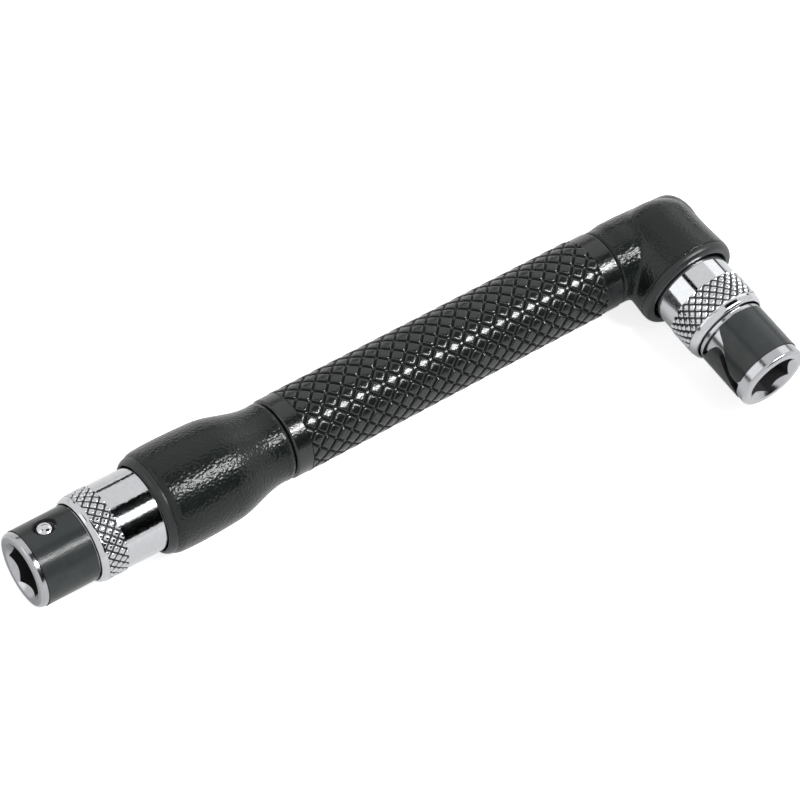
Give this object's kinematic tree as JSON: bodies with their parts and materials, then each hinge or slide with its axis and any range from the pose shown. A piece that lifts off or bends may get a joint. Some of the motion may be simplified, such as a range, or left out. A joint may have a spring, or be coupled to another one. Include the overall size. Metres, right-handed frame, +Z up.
{
  "type": "offset screwdriver",
  "caption": "L-shaped bit driver with a knurled grip, a bell housing and an elbow housing, each holding a magnetic hex socket with a sliding lock sleeve.",
  "frame": {"origin": "centre of the bounding box on the surface that the tool lies on", "axes": "+X along the grip from the straight socket to the elbow, the angled socket faces -Y, +Z up"},
  "size_m": [0.1106, 0.0346, 0.0152],
  "materials": {
    "coated_casting": "black fine-grained coating",
    "knurled_grip": "satin black over diamond knurl",
    "bright_steel": "turned and plated",
    "black_spring_steel": "black burnished",
    "polished_steel": "polished",
    "magnet": "nickel plated",
    "sleeve_chrome": "bright chrome, knurled ring",
    "bush_black": "smooth black"
  },
  "bodies": {
    "handle": {"bell_housing": "coated_casting", "grip_tube": "knurled_grip", "elbow_housing": "coated_casting", "tie_screw": "bright_steel", "tie_washer": "bright_steel", "straight_chuck_body": "bright_steel", "straight_keeper_band": "black_spring_steel", "straight_bit_magnet": "magnet", "straight_guide_bush": "bush_black", "straight_lock_screw": "black_spring_steel", "angle_chuck_body": "bright_steel", "angle_keeper_band": "black_spring_steel", "angle_bit_magnet": "magnet", "angle_guide_bush": "bush_black", "angle_lock_screw": "black_spring_steel"},
    "straight_ring": {"straight_friction_ring": "bright_steel"},
    "straight_sleeve": {"straight_lock_sleeve": "sleeve_chrome"},
    "straight_ball": {"straight_lock_ball": "polished_steel"},
    "angle_ring": {"angle_friction_ring": "bright_steel"},
    "angle_sleeve": {"angle_lock_sleeve": "sleeve_chrome"},
    "angle_ball": {"angle_lock_ball": "polished_steel"}
  },
  "joints": [
    {"name": "straight_lock_slide", "type": "slide", "parent": "handle", "child": "straight_ring", "axis": [-1, 0, 0], "range_m": [0, 0.005]},
    {"name": "straight_sleeve_spin", "type": "hinge", "parent": "straight_ring", "child": "straight_sleeve", "pos_m": [-0.03725, 0.00992, 0.0076], "axis": [-1, 0, 0], "continuous": true},
    {"name": "straight_ball_press", "type": "slide", "parent": "handle", "child": "straight_ball", "axis": [0, -0.3223, -0.9466], "range_m": [0, 0.0001]},
    {"name": "angle_lock_slide", "type": "slide", "parent": "handle", "child": "angle_ring", "axis": [0, -1, 0], "range_m": [0, 0.005]},
    {"name": "angle_sleeve_spin", "type": "hinge", "parent": "angle_ring", "child": "angle_sleeve", "pos_m": [0.04775, 0.00122, 0.0076], "axis": [0, -1, 0], "continuous": true},
    {"name": "angle_ball_press", "type": "slide", "parent": "handle", "child": "angle_ball", "axis": [-0.9957, 0, -0.0924], "range_m": [0, 0.0001]}
  ],
  "couplings": [
    {"joint": "straight_ball_press", "follows": "straight_lock_slide", "ratio": 0.02},
    {"joint": "angle_ball_press", "follows": "angle_lock_slide", "ratio": 0.02}
  ]
}
